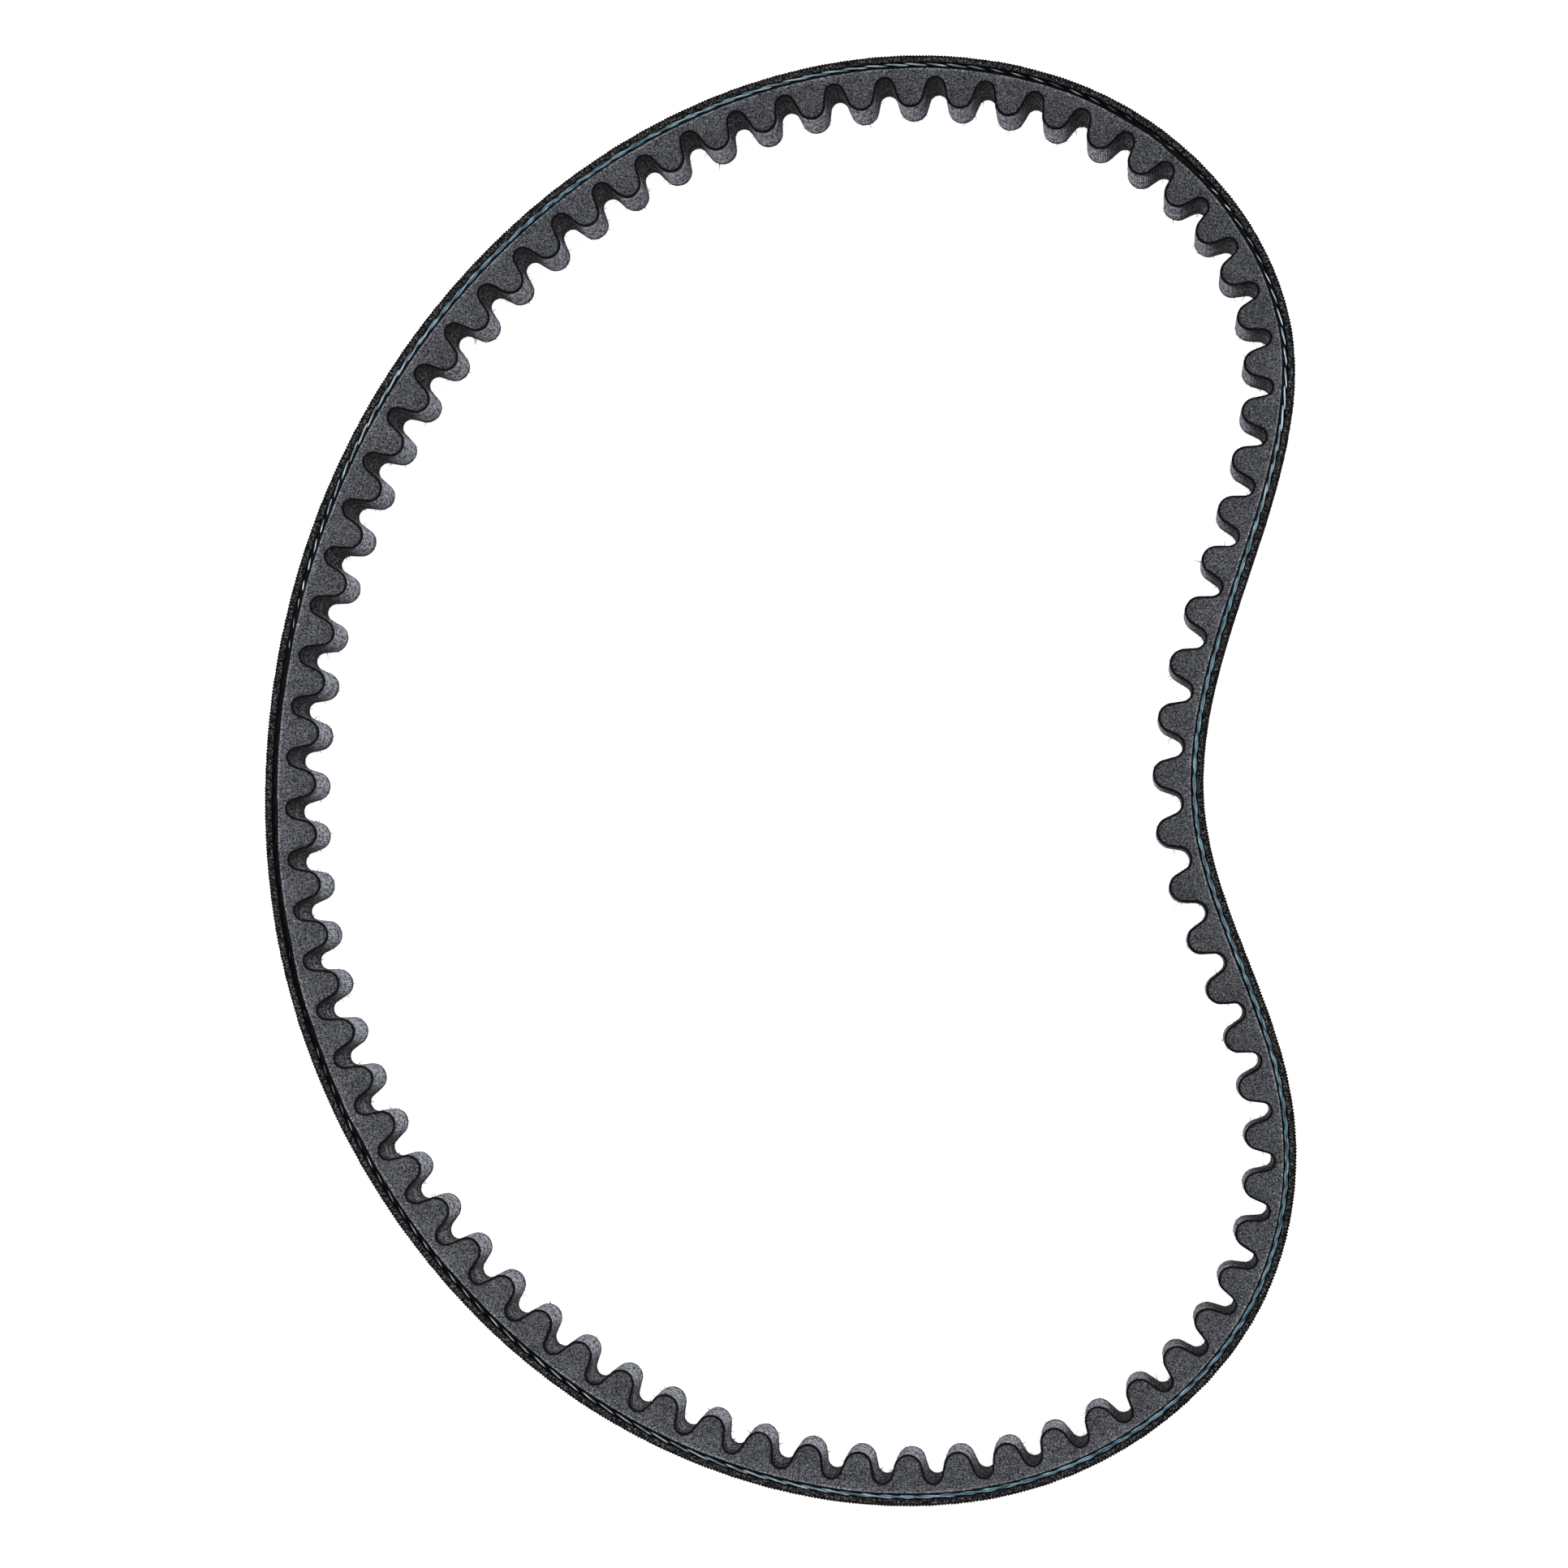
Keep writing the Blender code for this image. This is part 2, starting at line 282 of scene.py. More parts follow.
class Finish:
    """A Principled material and the nodes that feed it."""

    def __init__(self, name, **uniform):
        self.material = bpy.data.materials.new(name)
        self.material.use_nodes = True
        self.tree = self.material.node_tree
        self.shader = self.tree.nodes["Principled BSDF"]
        for socket, value in uniform.items():
            self.shader.inputs[socket.replace("_", " ")].default_value = value
        place = self.add("ShaderNodeAttribute", attribute_name="belt")
        self.belt = place.outputs["Vector"]
        self.run, self.depth, self.level = self.split(self.belt)
        spot = self.add("ShaderNodeTexCoord")
        self.spot = self.stretch(spot.outputs["Object"], 1 / MM, 1 / MM, 1 / MM)

    def add(self, kind, **settings):
        """A node of the material."""
        node = self.tree.nodes.new(kind)
        for key, value in settings.items():
            setattr(node, key, value)
        return node

    def feed(self, socket, value):
        """Link a socket to another, or give it a value."""
        if isinstance(value, bpy.types.NodeSocket):
            self.tree.links.new(value, socket)
        else:
            socket.default_value = value

    def math(self, operation, *values):
        """One arithmetic step."""
        node = self.add("ShaderNodeMath", operation=operation)
        for socket, value in zip(node.inputs, values):
            self.feed(socket, value)
        return node.outputs[0]

    def split(self, vector):
        """The three parts of a vector."""
        node = self.add("ShaderNodeSeparateXYZ")
        self.feed(node.inputs[0], vector)
        return node.outputs

    def stretch(self, vector, x, y, z):
        """A vector scaled along each axis."""
        node = self.add("ShaderNodeVectorMath", operation="MULTIPLY")
        self.feed(node.inputs[0], vector)
        node.inputs[1].default_value = (x, y, z)
        return node.outputs[0]

    def noise(self, vector, scale, detail=2.0, roughness=0.5):
        """Cloudy values around a half."""
        node = self.add("ShaderNodeTexNoise")
        self.feed(node.inputs["Vector"], vector)
        node.inputs["Scale"].default_value = scale
        node.inputs["Detail"].default_value = detail
        node.inputs["Roughness"].default_value = roughness
        return node.outputs["Fac"]

    def fit(self, value, low, high, to_low=0.0, to_high=1.0, ease=False):
        """Values from low to high, brought to another range and held inside it."""
        node = self.add("ShaderNodeMapRange", interpolation_type="SMOOTHSTEP" if ease else "LINEAR")
        for socket, number in zip(node.inputs, (value, low, high, to_low, to_high)):
            self.feed(socket, number)
        return node.outputs[0]

    def mix(self, share, first, second):
        """A colour between two."""
        node = self.add("ShaderNodeMix", data_type="RGBA")
        for socket, value in zip((node.inputs[0], node.inputs[6], node.inputs[7]), (share, first, second)):
            self.feed(socket, (*value, 1) if isinstance(value, tuple) else value)
        return node.outputs[2]

    def shade(self, colour, factor):
        """A colour made darker or paler."""
        node = self.add("ShaderNodeVectorMath", operation="SCALE")
        self.feed(node.inputs[0], colour)
        self.feed(node.inputs["Scale"], factor)
        return node.outputs[0]

    def below_edge(self):
        """How far a place lies below the flank, in millimetres."""
        past = self.math("MAXIMUM", self.math("SUBTRACT", self.depth, SHOULDER_DEPTH / MM), 0.0)
        flank = self.math("SUBTRACT", LOOP.half_width / MM, self.math("MULTIPLY", past, FLANK_SLOPE))
        return self.math("SUBTRACT", flank, self.math("ABSOLUTE", self.level))

    def colour(self, value):
        """Set the base colour."""
        self.feed(self.shader.inputs["Base Color"], value)

    def roughness(self, value):
        """Set the roughness."""
        self.feed(self.shader.inputs["Roughness"], value)

    def bump(self, height, distance, strength=1.0):
        """Raise the surface by up to the distance."""
        node = self.add("ShaderNodeBump")
        node.inputs["Strength"].default_value = strength
        node.inputs["Distance"].default_value = distance
        self.feed(node.inputs["Height"], height)
        self.feed(self.shader.inputs["Normal"], node.outputs[0])


def filled_rubber(name, dark, pale, at_tips=1.0, edged=False):
    """Rubber full of short pale fibres, as the flank's cut shows it. It may be darker at the cog tips.

    Edged rubber is also black along the fabric, partly rubber that the knife spread there and partly painted
    shade in the joint.
    """
    f = Finish(name, Specular_IOR_Level=0.08)

    # Grain with fine grit, pale fibre ends and dark pits
    grain = f.noise(f.spot, 3.0, 3.0, 0.75)
    fine = f.noise(f.spot, 8.0, 1.0, 0.5)
    tone = f.fit(f.math("ADD", grain, f.math("MULTIPLY", fine, 0.2)), 0.50, 0.72)
    specks = f.fit(f.noise(f.spot, 4.0, 1.0, 0.4), 0.61, 0.70)
    pits = f.fit(f.noise(f.stretch(f.spot, 1.01, 0.99, 1.0), 3.0, 1.0, 0.4), 0.37, 0.27)

    # Slower changes: streaks along the belt, clouds, and a hue that goes from warm to cool
    smear = f.noise(f.stretch(f.belt, 0.25, 2.2, 0.3), 1.0, 2.0, 0.5)
    cloud = f.noise(f.spot, 0.16, 3.0, 0.6)
    hue = f.fit(f.noise(f.spot, 1.1, 2.0, 0.6), 0.38, 0.62)
    level = f.math("MULTIPLY", f.fit(cloud, 0.3, 0.7, 0.84, 1.18), f.fit(smear, 0.3, 0.7, 0.9, 1.1))
    level = f.math("MULTIPLY", level, f.fit(f.depth, 3.0, 9.0, 1.0, at_tips))
    # Paler next to the groove: rubber wear with a painted highlight
    level = f.math("MULTIPLY", level, f.fit(f.depth, 2.5, 3.3, 1.15, 1.0))

    cool = f.mix(tone, dark, tuple(c * t for c, t in zip(pale, (0.92, 0.98, 1.14))))
    warm = f.mix(tone, dark, tuple(c * t for c, t in zip(pale, (1.05, 1.02, 0.94))))
    colour = f.mix(f.math("MULTIPLY", specks, 0.75), f.mix(hue, warm, cool), tuple(2.3 * c for c in pale))
    colour = f.mix(f.math("MULTIPLY", pits, 0.9), colour, dark)
    colour = f.shade(colour, level)

    # Black along the fabric, from knife smear and painted shade in the joint; and black below the edge of the
    # flank, painted shade on the walls of the groove
    if edged:
        edge = f.add("ShaderNodeAttribute", attribute_name="to_fabric").outputs["Fac"]
        ragged = f.math("ADD", edge, f.math("MULTIPLY", f.math("SUBTRACT", grain, 0.5), 0.25))
        colour = f.mix(f.fit(ragged, 0.06, 0.30), BLACK, colour)
    # Painted shade: black where a place lies below the flank's edge
    f.colour(f.mix(f.fit(f.below_edge(), 0.08, 0.16), colour, BLACK))
    f.roughness(f.fit(grain, 0.3, 0.7, 0.88, 0.66))
    f.bump(f.math("ADD", grain, f.math("MULTIPLY", fine, 0.4)), 0.12 * MM, 0.9)
    return f.material


def band_rubber(name, dark, pale, rust, thread):
    """Brown-black rubber with coarse grains, a few of them rust-red or pale, and the print of a cloth."""
    f = Finish(name, Specular_IOR_Level=0.05)

    # Grain, rusty patches and pale specks
    grain = f.noise(f.spot, 1.5, 3.0, 0.7)
    tone = f.fit(grain, 0.46, 0.62)
    rusty = f.fit(f.noise(f.stretch(f.spot, 1, 1, 0.6), 1.2, 2.0, 0.6), 0.60, 0.68)
    specks = f.fit(f.noise(f.spot, 2.5, 1.0, 0.4), 0.57, 0.65)
    colour = f.mix(f.math("MULTIPLY", rusty, 0.35), f.mix(tone, dark, pale), rust)
    colour = f.mix(specks, colour, tuple(3.2 * c for c in pale))
    cloud = f.noise(f.spot, 0.2, 2.0, 0.5)
    # Random clouds, and painted shade that darkens the upper cushion towards the groove
    level = f.math("MULTIPLY", f.fit(cloud, 0.3, 0.7, 0.66, 1.14), f.fit(f.depth, 0.92, 1.14, 1.0, 0.4))

    # Painted shade: black at the outer rim of the flank and on the walls of the groove
    below = f.below_edge()
    outer_rim = f.math("MULTIPLY", f.fit(f.depth, 0.45, 0.15), f.fit(below, 0.5, 0.2))
    groove_wall = f.math("MULTIPLY", f.fit(f.depth, 1.0, 1.08), f.fit(below, 0.08, 0.16))
    painted_rim_and_groove_shade = f.math("MAXIMUM", f.math("MULTIPLY", outer_rim, 0.88), groove_wall)
    f.colour(f.mix(painted_rim_and_groove_shade, f.shade(colour, level), BLACK))
    f.roughness(f.fit(grain, 0.3, 0.7, 0.92, 0.72))
    print_of_cloth = f.math("ABSOLUTE", f.math("SINE", f.math("MULTIPLY", f.level, math.pi * MM / thread)))
    f.bump(f.math("ADD", grain, f.math("MULTIPLY", print_of_cloth, 0.6)), 0.12 * MM, 0.8)
    return f.material


def facing_fabric(name, thread):
    """A plain weave, pale over the cog tips where it is rubbed bare, and dark in the roots, partly
    from the rubber that fills them and partly from painted shade.

    Below the flank's edge it is darkened by rubber that the cutting of the flanks spread over the edges and
    by painted shade. This reaches furthest down in the roots, and the painted shade further on the walls that
    face along -Y.
    """
    f = Finish(name, Specular_IOR_Level=0.06)

    # Warp and weft threads, which take turns on top
    warp = f.math("SINE", f.math("MULTIPLY", f.run, math.pi * MM / thread))
    weft = f.math("SINE", f.math("MULTIPLY", f.level, math.pi * MM / thread))
    over = f.fit(f.math("MULTIPLY", warp, weft), -0.12, 0.12, ease=True)
    warp_face = f.math("POWER", f.math("ABSOLUTE", warp), 0.7)
    weft_face = f.math("MULTIPLY", f.math("POWER", f.math("ABSOLUTE", weft), 0.7), 0.8)
    above = f.math("MULTIPLY", warp_face, over)
    below = f.math("MULTIPLY", weft_face, f.math("SUBTRACT", 1.0, over))
    cover = f.math("ADD", above, below)

    # Frayed fibres: dashes across the belt and long lines along it
    dashes = f.noise(f.stretch(f.belt, 1.9, 0.0, 0.4), 1.0, 2.0, 0.6)
    lines = f.noise(f.stretch(f.belt, 0.12, 0.0, 0.9), 1.0, 1.0, 0.5)
    frayed = f.math("ADD", f.math("MULTIPLY", dashes, 0.7), f.math("MULTIPLY", lines, 0.3))

    # Threads and lint rubbed bare are pale; in the roots threads are dark, filled with rubber and in painted
    # shade
    patch = f.noise(f.spot, 0.8, 3.0, 0.65)
    # Share of the pale colour: full over the tips, rubbed bare, and none in the roots, rubber-filled and in
    # painted shade
    bare_tips_shaded_roots = f.fit(f.depth, 6.0, 8.7, ease=True)
    bare_tips_shaded_roots = f.math("MULTIPLY", bare_tips_shaded_roots, f.fit(patch, 0.34, 0.64, 0.5, 1.1))
    pale = f.mix(f.fit(frayed, 0.43, 0.57), (0.046, 0.048, 0.058), (0.338, 0.350, 0.402))
    soaked_and_shaded = f.mix(f.fit(frayed, 0.45, 0.57), (0.006, 0.006, 0.007), (0.178, 0.176, 0.200))
    thread_colour = f.mix(bare_tips_shaded_roots, soaked_and_shaded, pale)
    gap = f.mix(bare_tips_shaded_roots, (0.008, 0.008, 0.010), (0.030, 0.031, 0.036))
    lint = f.fit(f.noise(f.spot, 5.0, 1.0, 0.5), 0.66, 0.75)
    woven = f.mix(f.fit(cover, 0.15, 0.75), gap, thread_colour)
    woven = f.mix(f.math("MULTIPLY", lint, f.fit(bare_tips_shaded_roots, 0.0, 1.0, 0.15, 0.5)), woven, (0.40, 0.41, 0.45))

    # Darkening below the flank's edge from knife smear and painted shade, painted contact shade along the
    # bottom, and black cut edges
    below_edge = f.below_edge()
    _, towards_y, _ = f.split(f.add("ShaderNodeNewGeometry").outputs["Normal"])
    # Painted shade reaches further down on walls that face along -Y
    reach = f.math("MULTIPLY", f.fit(f.depth, 5.2, 8.5, 9.0, 0.5), f.fit(towards_y, -0.45, -0.95, 1.0, 2.2))
    smear_and_shade = f.math("DIVIDE", below_edge, reach)
    uneven = f.math("MULTIPLY", f.math("SUBTRACT", patch, 0.5), 0.8)
    woven = f.shade(woven, f.fit(f.math("ADD", smear_and_shade, uneven), 0.08, 0.9, 0.14, 1.0))
    # Painted contact shade: darkest within 0.8 mm of the lower flank, gone by 2.8 mm
    contact_shade_height = f.math("ADD", f.level, f.math("ADD", below_edge, f.math("ABSOLUTE", f.level)))
    woven = f.shade(woven, f.fit(contact_shade_height, 0.8, 2.8, 0.12, 1.0))
    inside = f.fit(below_edge, 0.12, 0.32)
    f.colour(f.mix(inside, BLACK, woven))
    f.roughness(f.fit(frayed, 0.3, 0.7, 0.9, 0.7))
    f.bump(f.math("ADD", cover, f.math("MULTIPLY", frayed, 0.5)), 0.09 * MM, 0.9)
    return f.material


def aramid(name):
    """Blue twisted cord: fine filaments where a flank cuts it, black dip elsewhere.

    The attribute strand holds a place's offset across and above the strand's middle and its run along it, and
    the attribute buried holds how far a place lies below the cut.
    """
    f = Finish(name)

    # Places turned back by the lay, so that they follow the plies
    strand_place = f.add("ShaderNodeAttribute", attribute_name="strand").outputs["Vector"]
    _, height, run = f.split(strand_place)
    turn = f.add("ShaderNodeVectorRotate", rotation_type="Z_AXIS")
    f.feed(turn.inputs["Vector"], strand_place)
    f.feed(turn.inputs["Angle"], f.math("MULTIPLY", run, -2 * math.pi * MM / LAY_LENGTH))
    in_plies = turn.outputs[0]
    x, y, _ = f.split(in_plies)
    filaments = f.noise(f.stretch(in_plies, 3.4, 3.4, 0.3), 1.0, 4.0, 0.7)
    patches = f.noise(f.stretch(in_plies, 1.6, 1.6, 0.45), 1.0, 1.0, 0.5)

    # How far a place lies from the nearest border between plies, and from the middle of its own ply
    to_border = f.math("PINGPONG", f.math("MULTIPLY", f.math("ARCTAN2", y, x), PLIES / (2 * math.pi)), 0.5)
    reach = f.math("SQRT", f.math("ADD", f.math("MULTIPLY", x, x), f.math("MULTIPLY", y, y)))
    border = f.math("MULTIPLY", reach, f.math("SINE", f.math("MULTIPLY", to_border, 2 * math.pi / PLIES)))
    to_crest = f.math("MULTIPLY", f.math("SUBTRACT", 0.5, to_border), 2 * math.pi / PLIES)
    along_crest = f.math("SUBTRACT", f.math("MULTIPLY", reach, f.math("COSINE", to_crest)), PLY_OFFSET / MM)
    beside_crest = f.math("MULTIPLY", reach, f.math("SINE", to_crest))
    squares = f.math("ADD", f.math("POWER", along_crest, 2.0), f.math("POWER", beside_crest, 2.0))
    off_ply = f.math("SQRT", squares)

    # Blue deep inside the strand; greyer, dulled by rubber dust, where a flank only grazes its upper side,
    # and paler where it grazes its lower side, from abraded filaments and a painted highlight
    off_middle = f.math("ABSOLUTE", height)
    fibre = f.fit(filaments, 0.41, 0.59)
    deep = f.mix(fibre, (0.010, 0.034, 0.052), (0.138, 0.230, 0.283))
    upper = f.mix(fibre, (0.040, 0.062, 0.075), (0.265, 0.312, 0.338))
    # Abraded filaments with a painted highlight, where a flank grazes the lower side
    under = f.mix(fibre, (0.060, 0.110, 0.150), (0.43, 0.53, 0.60))
    grazed_dust_wear_and_highlight = f.mix(f.fit(height, -0.1, 0.1), under, upper)
    teal = f.mix(f.fit(off_middle, 0.10, 0.30), deep, grazed_dust_wear_and_highlight)
    teal = f.shade(teal, f.fit(patches, 0.3, 0.7, 0.62, 1.38))

    # Painted shade in the crevices and along the borders between plies, and dip on all that lies below the
    # cut
    outside = f.fit(off_ply, 0.84 * PLY_RADIUS / MM, PLY_RADIUS / MM)
    crevice_shade = f.math("MULTIPLY", outside, f.fit(reach, 0.12, 0.26))
    teal = f.mix(f.math("MAXIMUM", crevice_shade, f.fit(border, 0.05, 0.0)), teal, (0.004, 0.014, 0.021))
    buried = f.add("ShaderNodeAttribute", attribute_name="buried").outputs["Fac"]
    ragged = f.math("ADD", buried, f.math("MULTIPLY", filaments, 0.06))
    covered = f.fit(ragged, 0.03, 0.07, ease=True)
    f.colour(f.mix(covered, teal, DIP))
    f.feed(f.shader.inputs["Specular IOR Level"], f.fit(covered, 0.0, 1.0, 0.4, 0.01))
    f.roughness(f.fit(filaments, 0.3, 0.7, 0.5, 0.32))
    f.bump(filaments, 0.05 * MM, 0.7)
    return f.material


# ---- the layers ----

# Steps are to a pitch. Each value of a rib is one step of its wave round the loop.
COVER_STEPS = 68
COVER_RIB = (0, 1, 0, -1)
COVER_RIB_HEIGHT = 0.09 * MM
COVER_SWELL = 0.04 * MM
COVER_PROUD = 0.06 * MM
COVER_WEAR = 0.05 * MM
BAND_STEPS = 40
BAND_ROUGHNESS = 0.05 * MM


def upper_share(side):
    """0 on the lower flank and 1 on the upper one."""
    return (side + 1) / 2


def at_flank(side):
    """Whether a place on a section lies on a flank."""
    return abs(side) == 1


def back_cover():
    """The outer skin: the print of a coarse cloth runs across it, and wear has rounded its edges."""
    share, side = section((0, 0.35, 1), (1, 12))
    stations = steps_round(COVER_STEPS)[:, None]
    loop_share = stations / LOOP.count
    flank = upper_share(side)
    lift = np.tile(COVER_RIB, len(stations) // len(COVER_RIB))[:, None] * COVER_RIB_HEIGHT
    lift = lift * (1 + 0.6 * ripple(1, loop_share, 1300, flank, 8))
    lift = lift + COVER_SWELL * ripple(2, loop_share, 600, flank, 10)
    depths = share * COVER_DEPTH - (lift + COVER_PROUD) * (share < 0.5)
    rough = 1 + ripple(3, loop_share, 2200, share, 2) + (share == 0)
    levels = side * (LOOP.half_width - COVER_WEAR * rough * at_flank(side))
    piece = ring("back_cover_skin", stations, depths, levels)
    finish_piece(piece, BAND, "back_cover", sharp=60)


def tension_band():
    """The dark band between the cover and the cord, with granular flanks."""
    share, side = section((0, 0.25, 0.5, 0.75, 1), (3, 1))
    stations = steps_round(BAND_STEPS)[:, None]
    loop_share = stations / LOOP.count
    depths = np.broadcast_to(COVER_DEPTH + share * (TENSION_DEPTH - COVER_DEPTH), (len(stations), len(share)))
    grains = 1 + ripple(12, loop_share, LOOP.count * BAND_STEPS // 2, (share + upper_share(side)) / 2, 12)
    levels = side * (LOOP.half_height(depths) - BAND_ROUGHNESS * grains * at_flank(side))
    piece = ring("tension_rubber_band", stations, depths, levels)
    finish_piece(piece, BAND, "tension_rubber")


CUT_LEVEL = LOOP.half_width - CUT_DEPTH

# A strand is made in fine steps within the fine reach of a cut, and in coarse ones inside the belt. Its
# ripples share out a span of stations that is longer than any strand.
FINE_STEP = 0.3 * MM
COARSE_EVERY = 40
FINE_REACH = 0.75 * MM
STRAND_SPAN = 2000

# What is left of a strand's rings where they are wholly cut away
VANISHED = 0.01

# How far the strands and the sides of the groove wander, and the cushions beside them
STRAND_RISE = 0.02 * MM
STRAND_DRIFT = 0.06 * MM
OUTER_WANDER = 0.04 * MM
INNER_WANDER = 0.045 * MM
HIDDEN_WANDER = 0.14 * MM
CUSHION_STEPS = 24
CUSHION_ROUGHNESS = 0.02 * MM


def climb(station):
    """How many spacings above the upper cut the first strand lies, after this many stations."""
    places, values = zip(*CLIMB)
    return STRANDS * np.floor(station / LOOP.count) + np.interp(station % LOOP.count, places, values)


def nearest_strand(station, side):
    """How far from the cut of the upper or the lower flank the nearest strand's middle lies."""
    spacings = climb(station) + (side < 0) * 2 * CUT_LEVEL / STRAND_SPACING
    return STRAND_SPACING * abs(spacings - np.round(spacings))


def groove_wander(station, side):
    """The ragged inner edge of the groove, which is wider where no strand is cut."""
    share = station / LOOP.count
    hidden = smooth((nearest_strand(station, side) - 0.8 * CORD_RADIUS) / (0.25 * CORD_RADIUS))
    flank = upper_share(side)
    wave = ripple(40, share, 90, flank, 1) + 0.5 * ripple(41, share, 300, flank, 1)
    return INNER_WANDER * wave + hidden * HIDDEN_WANDER * np.maximum(wave, -0.3)


def cut_flat(across, height, cut):
    """Cut rings of points flat where they rise above the cut, and spread those points over the chord."""
    rings, columns = across.shape
    above = height > cut[:, None]
    spans = []
    for step in (1, -1):
        steps, edge = np.zeros(rings), np.zeros(rings)
        counts, edges = np.zeros_like(across), np.zeros_like(across)
        for k in range(0, 2 * columns * step, step):
            here, before = k % columns, (k - step) % columns
            entering = above[:, here] & ~above[:, before]
            rise = np.where(entering, height[:, here] - height[:, before], 1)
            share = (cut - height[:, before]) / rise
            crossing = across[:, before] + share * (across[:, here] - across[:, before])
            edge = np.where(entering, crossing, edge)
            steps = np.where(entering, 0.5, steps + 1)
            counts[:, here], edges[:, here] = steps, edge
        spans.append((counts, edges))
    (from_start, start), (from_end, end) = spans
    chord = start + (end - start) * from_start / (from_start + from_end)
    gone = above.all(axis=1)[:, None]
    chord = np.where(gone, across * VANISHED, chord)
    flat = cut[:, None] + np.where(gone, (height / CORD_RADIUS - 1) * VANISHED * CORD_RADIUS, 0)
    return np.where(above, chord, across), np.where(above, flat, height)


def strand(number):
    """One of the cord's strands: three twisted plies. It is finely made near the flanks, which cut it."""
    columns = PLIES * PLY_POINTS
    turns = math.ceil(2 * LOOP.half_width / STRAND_SPACING / STRANDS) + 2
    station = np.arange(-turns * LOOP.count, 2 * LOOP.count, FINE_STEP / LOOP.pitch)
    level = CUT_LEVEL + STRAND_SPACING * (climb(station) - number)
    step = np.arange(len(station))
    fine = (level > CUT_LEVEL - FINE_REACH) | ((level < FINE_REACH - CUT_LEVEL) & (step % 2 == 0))
    keep = (abs(level) < CUT_LEVEL + CORD_RADIUS) & (fine | (step % COARSE_EVERY == 0))
    station, level = station[keep], level[keep]
    level = level + STRAND_RISE * ripple(50 + number, station / STRAND_SPAN, 9000)
    run = station * LOOP.pitch
    point = np.arange(columns)
    in_ply = (point % PLY_POINTS) / PLY_POINTS
    from_crest = (in_ply - 0.5) * 2 * math.pi / PLIES
    bulge = np.maximum(PLY_RADIUS**2 - (PLY_OFFSET * np.sin(from_crest)) ** 2, 0)
    radius = np.maximum(PLY_OFFSET * np.cos(from_crest) + np.sqrt(bulge), CREVICE_SHARE * CORD_RADIUS)
    radius = radius * (1 + 0.05 * ripple(52 + number, station[:, None] / STRAND_SPAN, 30000, in_ply[None], 2))
    angle = 2 * math.pi * (run[:, None] / LAY_LENGTH - point / columns)
    across, height = radius * np.cos(angle), radius * np.sin(angle)
    across, height = cut_flat(across, height, CUT_LEVEL - level)
    across, below = cut_flat(across, -height, CUT_LEVEL + level)
    height = -below
    depths = CORD_DEPTH + STRAND_SHIFT + across + STRAND_DRIFT * ripple(54, station / LOOP.count, 18)[:, None]
    levels = level[:, None] + height
    plan = LOOP.at(np.broadcast_to(station[:, None], depths.shape), depths)
    points = np.concatenate([plan, (LOOP.middle + levels)[..., None]], axis=-1).reshape(-1, 3)
    j, k = np.meshgrid(np.arange(len(station) - 1), point, indexing="ij")
    corners = [(j, k), (j + 1, k), (j + 1, k + 1), (j, k + 1)]
    quads = np.stack([a * columns + b % columns for a, b in corners], axis=-1).reshape(-1, 4)
    last = (len(station) - 1) * columns
    ends = (list(point), list(last + point[::-1]))
    piece = add_mesh(f"tensile_cord_strand_{number + 1}", points, quads, ends)
    place = np.stack([across, height, np.broadcast_to(run[:, None], across.shape)], axis=-1)
    add_attribute(piece, "strand", place.reshape(-1, 3) / MM)
    add_attribute(piece, "buried", (CUT_LEVEL - abs(levels)).ravel() / MM)
    finish_piece(piece, CORD, "tensile_cord", sharp=80)


def cushion(name, node, far, near, seed, material):
    """A layer beside the cord: at a flank it stops at the groove's ragged edge, further in at the cord."""
    stations = steps_round(CUSHION_STEPS)
    halves = []
    for side in (1, -1):
        edge = near(stations, side)
        grains = CUSHION_ROUGHNESS * (1 + ripple(seed, stations / LOOP.count, 900, upper_share(side), 1))
        core = np.full_like(edge, CORD_DEPTH + STRAND_SHIFT)
        depths = np.column_stack([np.full_like(edge, far), (far + edge) / 2, edge, edge, core])
        floor = np.full_like(edge, GROOVE_FLOOR)
        drops = np.column_stack([np.zeros_like(edge), grains, grains, floor, floor])
        levels = side * (LOOP.half_height(depths) - drops)
        towards_cogs = (far < CORD_DEPTH) == (side > 0)
        order = slice(None) if towards_cogs else slice(None, None, -1)
        halves.append((depths[:, order], levels[:, order]))
    depths, levels = (np.concatenate(parts, axis=1) for parts in zip(*halves))
    piece = ring(name, stations[:, None], depths, levels)
    finish_piece(piece, material, node)


def upper_edge(station, side):
    """The outer side of the groove."""
    share = station / LOOP.count
    return GROOVE_DEPTH + OUTER_WANDER * ripple(20, share, 300, upper_share(side), 1)


def lower_edge(station, side):
    """The inner side of the groove."""
    return GROOVE_EDGE + groove_wander(station, side)


def fabric_distance(stations, depths, outline, tips):
    """How far each place on the cogged body lies from the inner side of the fabric.

    It is measured on one cog, between its two neighbours, and copied to the others.
    """
    rows = len(outline) // LOOP.count
    line = np.column_stack([outline[:3 * rows] * LOOP.pitch, tips[:3 * rows]])
    places = np.stack([stations[rows:2 * rows] * LOOP.pitch, depths[rows:2 * rows]], axis=-1)
    start, way = line[:-1], np.diff(line, axis=0)
    offset = places[:, :, None] - start
    share = np.clip((offset * way).sum(axis=-1) / (way**2).sum(axis=-1), 0, 1)
    apart = np.linalg.norm(offset - share[..., None] * way, axis=-1).min(axis=-1)
    return np.tile(apart, (LOOP.count, 1))


